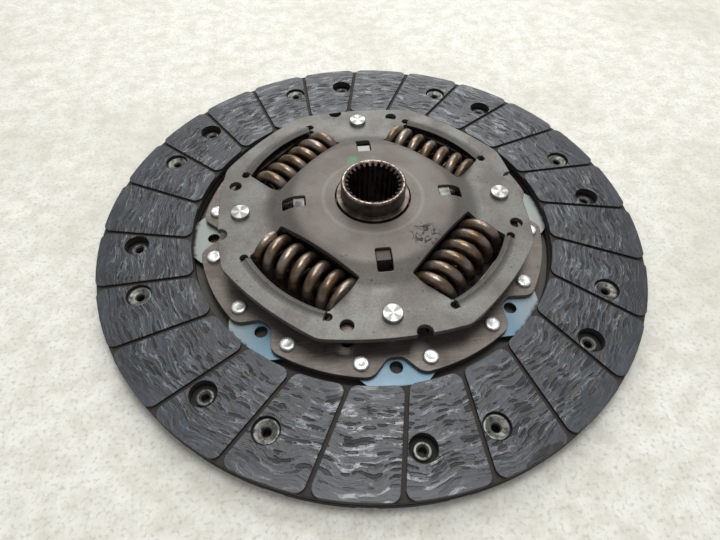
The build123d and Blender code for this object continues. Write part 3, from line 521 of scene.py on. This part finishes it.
def coil_spring_tree():
    """A compression spring on the Z axis, centred, with closed and ground ends."""
    tree, add, given = new_geometry_tree(
        "coil_spring",
        {
            "Coil radius": "Float",
            "Wire radius": "Float",
            "Length": "Float",
            "Active turns": "Float",
            "Closed turns": "Float",
            "Turned": "Float",
            "Hand": "Float",
            "Material": "Material",
        },
    )
    points_per_turn = 48.0
    wire_sides = 24
    wire = given["Wire radius"]
    active = given["Active turns"]
    closed = given["Closed turns"]
    helix_radius = add("ShaderNodeMath", {0: given["Coil radius"], 1: wire}, operation="SUBTRACT")
    all_turns = add("ShaderNodeMath", {0: closed, 1: 2.0, 2: active}, operation="MULTIPLY_ADD")
    count = add("ShaderNodeMath", {0: all_turns, 1: points_per_turn}, operation="MULTIPLY")
    line = add("GeometryNodeCurvePrimitiveLine", {"End": (0.0, 0.0, 1.0)})
    line = add("GeometryNodeResampleCurve", {"Curve": line, "Count": count})

    # Turns counted from the spring's middle, and how many of them lie in the closed end.
    factor = add("GeometryNodeSplineParameter", output="Factor")
    turn = add("ShaderNodeMath", {0: factor, 1: 0.5}, operation="SUBTRACT")
    turn = add("ShaderNodeMath", {0: turn, 1: all_turns}, operation="MULTIPLY")
    size = add("ShaderNodeMath", {0: turn}, operation="ABSOLUTE")
    beyond = add("ShaderNodeMath", {0: active, 1: -0.5, 2: size}, operation="MULTIPLY_ADD")
    beyond = add("ShaderNodeMath", {0: beyond, 1: 0.0}, operation="MAXIMUM")

    # The wire's centre ends a quarter of its radius inside the ground face, and closes by one radius.
    pitch = add("ShaderNodeMath", {0: wire, 1: -2.5, 2: given["Length"]}, operation="MULTIPLY_ADD")
    pitch = add("ShaderNodeMath", {0: pitch, 1: active}, operation="DIVIDE")
    curl = add("ShaderNodeMath", {0: pitch, 1: closed}, operation="MULTIPLY")
    curl = add("ShaderNodeMath", {0: wire, 1: curl}, operation="SUBTRACT")
    closed_square = add("ShaderNodeMath", {0: closed, 1: 2.0}, operation="POWER")
    curl = add("ShaderNodeMath", {0: curl, 1: closed_square}, operation="DIVIDE")
    beyond_square = add("ShaderNodeMath", {0: beyond, 1: 2.0}, operation="POWER")
    curl = add("ShaderNodeMath", {0: curl, 1: beyond_square}, operation="MULTIPLY")
    climb = add("ShaderNodeMath", {0: pitch, 1: size, 2: curl}, operation="MULTIPLY_ADD")
    side = add("ShaderNodeMath", {0: turn}, operation="SIGN")
    climb = add("ShaderNodeMath", {0: climb, 1: side}, operation="MULTIPLY")

    angle = add("ShaderNodeMath", {0: turn, 1: 2 * pi}, operation="MULTIPLY")
    angle = add(
        "ShaderNodeMath", {0: angle, 1: given["Hand"], 2: given["Turned"]}, operation="MULTIPLY_ADD"
    )
    point = on_circle(add, helix_radius, angle, climb)
    helix = add("GeometryNodeSetPosition", {"Geometry": line, "Position": point})
    section = add("GeometryNodeCurvePrimitiveCircle", {"Radius": wire, "Resolution": wire_sides})
    tube = add("GeometryNodeCurveToMesh", {"Curve": helix, "Profile Curve": section, "Fill Caps": True})

    # Grinding: nothing stands past the two end faces.
    x, y, z = add("ShaderNodeSeparateXYZ", {0: add("GeometryNodeInputPosition")}, output=None)
    upper_face = add("ShaderNodeMath", {0: given["Length"], 1: 0.5}, operation="MULTIPLY")
    lower_face = add("ShaderNodeMath", {0: given["Length"], 1: -0.5}, operation="MULTIPLY")
    z = add("ShaderNodeMath", {0: z, 1: upper_face}, operation="MINIMUM")
    z = add("ShaderNodeMath", {0: z, 1: lower_face}, operation="MAXIMUM")
    point = add("ShaderNodeCombineXYZ", {0: x, 1: y, 2: z})
    ground = add("GeometryNodeSetPosition", {"Geometry": tube, "Position": point})
    finish_tree(add, ground, given["Material"])
    return tree


def ring_tree():
    """Copies of a piece on a circle about Z, in groups that repeat round the disc."""
    tree, add, given = new_geometry_tree(
        "ring_of_copies",
        {
            "Piece": "Object",
            "Circle radius": "Float",
            "Count": "Int",
            "In a group": "Int",
            "Group pitch": "Float",
            "Spread": "Float",
            "Start": "Float",
            "Material": "Material",
        },
    )
    in_a_group = given["In a group"]
    points = add("GeometryNodeMeshLine", {"Count": given["Count"]})
    index = add("GeometryNodeInputIndex")
    group = add("ShaderNodeMath", {0: index, 1: in_a_group}, operation="DIVIDE")
    group = add("ShaderNodeMath", {0: group}, operation="FLOOR")
    within = add("ShaderNodeMath", {0: index, 1: in_a_group}, operation="MODULO")
    middle = add("ShaderNodeMath", {0: in_a_group, 1: 0.5, 2: -0.5}, operation="MULTIPLY_ADD")
    offset = add("ShaderNodeMath", {0: within, 1: middle}, operation="SUBTRACT")
    angle = add(
        "ShaderNodeMath", {0: group, 1: given["Group pitch"], 2: given["Start"]}, operation="MULTIPLY_ADD"
    )
    angle = add("ShaderNodeMath", {0: offset, 1: given["Spread"], 2: angle}, operation="MULTIPLY_ADD")
    point = on_circle(add, given["Circle radius"], angle)
    placed = add("GeometryNodeSetPosition", {"Geometry": points, "Position": point})
    turned = add("ShaderNodeCombineXYZ", {2: angle})
    piece = add("GeometryNodeObjectInfo", {"Object": given["Piece"]}, output="Geometry")
    copies = add(
        "GeometryNodeInstanceOnPoints", {"Points": placed, "Instance": piece, "Rotation": turned}
    )
    finish_tree(add, copies, given["Material"])
    return tree


# ---------------------------------------------------------------- turned pieces
def rounded(corners, steps=6):
    """A closed outline from (radius, height, rounding) corners, mm, with each rounded corner as an arc."""
    outline = []
    for index, (radius, height, rounding) in enumerate(corners):
        here = Vector((radius, height))
        if rounding == 0:
            outline.append(here)
            continue
        back = (Vector(corners[index - 1][:2]) - here).normalized()
        ahead = (Vector(corners[(index + 1) % len(corners)][:2]) - here).normalized()
        half = back.angle(ahead) / 2
        reach = rounding / sin(half) * cos(half)
        centre = here + (back + ahead).normalized() * rounding / sin(half)
        first = here + back * reach - centre
        turn = first.angle_signed(here + ahead * reach - centre)
        for step in range(steps + 1):
            outline.append(centre + Matrix.Rotation(-turn * step / steps, 2) @ first)
    return outline


def turned_piece(name, corners, sides=48):
    """A mesh object turned about Z from a closed outline; corners on the axis become poles."""
    mesh = bmesh.new()
    rings = []
    for point in rounded(corners):
        if point.x < 1e-6:
            rings.append([mesh.verts.new((0, 0, point.y * MM))])
            continue
        ring = []
        for side in range(sides):
            angle = 2 * pi * side / sides
            ring.append(mesh.verts.new((point.x * MM * cos(angle), point.x * MM * sin(angle), point.y * MM)))
        rings.append(ring)
    for ring, following in zip(rings, rings[1:] + rings[:1]):
        if len(ring) == 1 and len(following) == 1:
            continue
        for side in range(sides):
            onward = (side + 1) % sides
            corners_here = [ring[side % len(ring)], ring[onward % len(ring)]]
            corners_there = [following[onward % len(following)], following[side % len(following)]]
            mesh.faces.new(list(dict.fromkeys(corners_here + corners_there)))
    bmesh.ops.recalc_face_normals(mesh, faces=mesh.faces)
    data = bpy.data.meshes.new(name)
    mesh.to_mesh(data)
    mesh.free()
    return bpy.data.objects.new(name, data)


# ---------------------------------------------------------------- damper springs
def damper_springs():
    """An outer spring and an inner one of the other hand in each window."""
    tree = coil_spring_tree()
    coils = (
        ("outer", outer_coil_radius, outer_wire_radius, outer_active_turns, 1.0, outer_wire),
        ("inner", inner_coil_radius, inner_wire_radius, inner_active_turns, -1.0, inner_wire),
    )
    for index, turned in enumerate(spring_turned):
        angle = radians(window_start_angle + index * 360 / window_count)
        outward = Vector((cos(angle), sin(angle), 0))
        along = Vector((-sin(angle), cos(angle), 0))
        seat = outward * spring_distance * MM + Vector((0, 0, spring_height * MM))
        place = Matrix((outward, along.cross(outward), along)).transposed().to_4x4()
        place = Matrix.Translation(seat) @ place
        for kind, coil_radius, wire_radius, active_turns, hand, wire in coils:
            piece = made_by(
                tree,
                f"{kind}_damper_spring_{index + 1}",
                {
                    "Coil radius": coil_radius * MM,
                    "Wire radius": wire_radius * MM,
                    "Length": spring_length * MM,
                    "Active turns": active_turns,
                    "Closed turns": closed_turns,
                    "Turned": radians(turned),
                    "Hand": hand,
                    "Material": wire,
                },
            )
            piece.data.transform(place)
            smooth_by_angle(piece, 50)
            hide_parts(f"{kind}_spring_{index + 1}")
            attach(piece, "disc")
            # Short enough for its ends to clear the flange's window end, which leans at the limit.
            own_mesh(piece)


damper_springs()


# ---------------------------------------------------------------- rivets
def rivet_set(tree, name, outline, circle_radius, count, material, start=0.0, in_a_group=1, spread=0.0):
    """A set of rivets, turned once and copied round the disc. Its start and spread are in degrees."""
    single = turned_piece("one_of_" + name, outline)
    piece = made_by(
        tree,
        name + "_headed",
        {
            "Piece": single,
            "Circle radius": circle_radius * MM,
            "Count": count,
            "In a group": in_a_group,
            "Group pitch": radians(360 * in_a_group / count),
            "Spread": radians(spread),
            "Start": radians(start),
            "Material": material,
        },
    )
    bpy.data.objects.remove(single)
    smooth_by_angle(piece, 40)
    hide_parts(name)
    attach(piece, "disc")


def rivets():
    """The rivets of the segments, of the two plates, and of the facing on either side."""
    tree = ring_tree()
    segment_rivet = (
        (0, -1.75, 0),
        (2.0, -1.9, 0.6),
        (3.0, -1.7, 0.5),
        (3.0, -segment_thickness, 0),
        (1.9, -segment_thickness, 0),
        (1.9, driver_thickness, 0),
        (3.0, driver_thickness, 0),
        (3.0, 3.8, 0.75),
        (1.6, 3.8, 0.6),
        (0, 3.6, 0),
    )
    rivet_set(
        tree,
        "segment_rivets",
        segment_rivet,
        segment_rivet_circle_radius,
        count=16,
        material=rivet_zinc,
        in_a_group=2,
        spread=segment_rivet_spread,
    )

    stop_rivet = (
        (0, -1.6, 0),
        (3.85, -1.6, 0.5),
        (3.85, 0, 0),
        (3.1, 0, 0),
        (3.1, driver_thickness, 0),
        (4.6, driver_thickness, 0),
        (4.6, cover_bottom, 0),
        (3.1, cover_bottom, 0),
        (3.1, cover_top, 0),
        (3.85, cover_top, 0),
        (3.85, 15.4, 0.45),
        (0, 15.4, 0),
    )
    rivet_set(tree, "stop_rivets", stop_rivet, stop_rivet_circle_radius, count=4, material=stop_rivet_zinc)

    # The facings' rivets are alike: those of the engine side are the gearbox side's turned over.
    gearbox_rivet = (
        (1.5, -0.3, 0),
        (2.2, -1.0, 0.3),
        (3.2, -0.9, 0.4),
        (3.2, 0, 0),
        (2.4, 0, 0),
        (2.4, facing_rivet_seat, 0),
        (4.5, facing_rivet_seat, 0),
        (4.5, 2.8, 0.35),
        (3.7, 2.8, 0.3),
        (1.9, 2.15, 0.25),
        (1.5, 1.6, 0.15),
    )
    engine_rivet = [(radius, -height, rounding) for radius, height, rounding in gearbox_rivet]
    sides = (("gearbox", gearbox_rivet, gearbox_rivet_angle), ("engine", engine_rivet, engine_rivet_angle))
    for side, outline, start in sides:
        rivet_set(
            tree,
            f"facing_rivets_{side}_side",
            outline,
            facing_rivet_circle_radius,
            count=8,
            material=rivet_dull,
            start=start,
        )


rivets()


# ---------------------------------------------------------------- floor, light and camera
def worktop():
    """The worktop that the disc lies on."""
    bpy.ops.mesh.primitive_plane_add(size=4, location=(0, 0, -facing_face * MM))
    floor = bpy.context.object
    floor.name = "worktop"
    floor.data.materials.append(stone)


def softbox(name, place, size, power):
    """A soft square lamp at a place, aimed at the middle of the disc."""
    lamp = bpy.data.lights.new(name, "AREA")
    lamp.size = size
    lamp.energy = power
    holder = bpy.data.objects.new(name, lamp)
    bpy.context.scene.collection.objects.link(holder)
    holder.location = place
    holder.rotation_euler = (-Vector(place)).to_track_quat("-Z", "Y").to_euler()


def studio_world():
    """An even, slightly cool light from all round."""
    world = bpy.data.worlds.new("studio")
    world.use_nodes = True
    background = world.node_tree.nodes["Background"]
    background.inputs["Color"].default_value = linear("#eef1f4")
    background.inputs["Strength"].default_value = 0.5
    bpy.context.scene.world = world


def camera():
    """The camera of the main view, looking down at the disc from its near left."""
    lens = bpy.data.cameras.new("camera")
    lens.lens = 25.12
    lens.sensor_width = 36.0
    lens.clip_start = 0.01
    holder = bpy.data.objects.new("camera", lens)
    bpy.context.scene.collection.objects.link(holder)
    place = (-0.0242, -0.1453, 0.16615)
    right = Vector((0.9930, -0.1175, 0.0114)).normalized()
    back = -Vector((0.0789, 0.5890, -0.8043)).normalized()
    up = back.cross(right).normalized()
    right = up.cross(back)
    turn = Matrix((right, up, back)).transposed().to_4x4()
    holder.matrix_world = Matrix.Translation(place) @ turn
    bpy.context.scene.camera = holder


worktop()
softbox("window_softbox", (0.15, 0.95, 0.85), size=0.9, power=10)
softbox("overhead_softbox", (0.06, 0.12, 0.95), size=0.35, power=5.5)
studio_world()
bpy.context.scene.view_settings.view_transform = "Standard"
camera()
